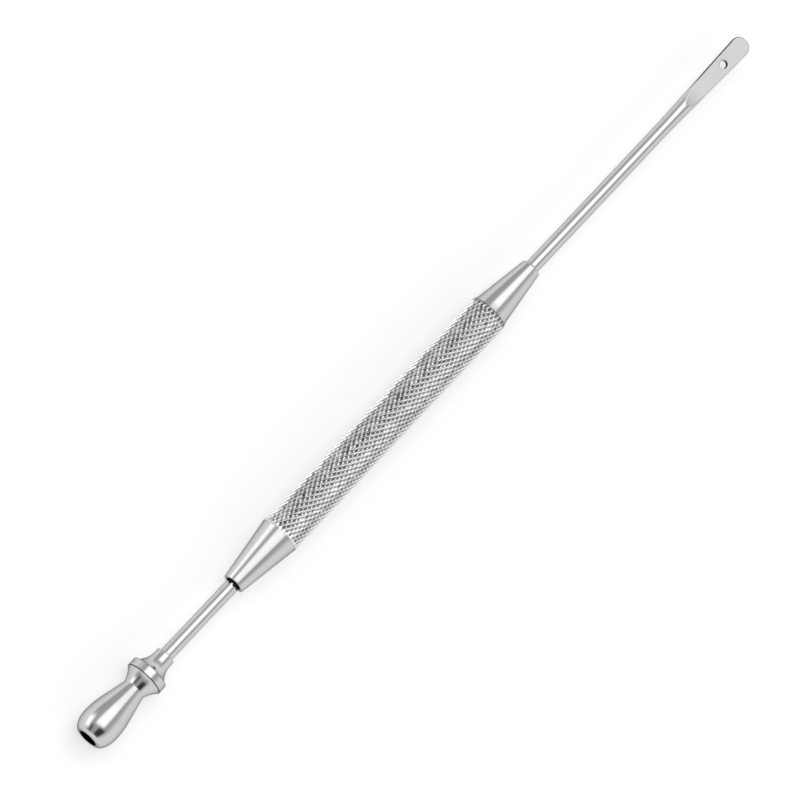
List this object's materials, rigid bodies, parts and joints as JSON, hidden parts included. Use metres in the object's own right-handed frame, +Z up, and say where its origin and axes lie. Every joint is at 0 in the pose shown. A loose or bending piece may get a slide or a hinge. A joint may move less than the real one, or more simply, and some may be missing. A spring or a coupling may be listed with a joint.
{
  "type": "suction elevator",
  "caption": "Slim steel suction elevator: olive hose connector, diamond-knurled handle, long tube pressed flat into a rounded blade with a suction port",
  "frame": {"origin": "bottom centre of the instrument as it lies on its knurled handle", "axes": "+X runs along the instrument from the hose mouth to the blade tip, +Z is up and square to the blade's flats"},
  "size_m": [0.19, 0.0084, 0.0083],
  "materials": {
    "polished_steel": "polished with a soft satin bloom",
    "tube_steel": "bright drawn tube, polished lengthwise",
    "handle_steel": "bright diamond knurl between finely turned cones"
  },
  "bodies": {
    "root": {"hose_connector": "polished_steel", "suction_tube": "tube_steel", "grip_handle": "handle_steel"}
  },
  "joints": []
}
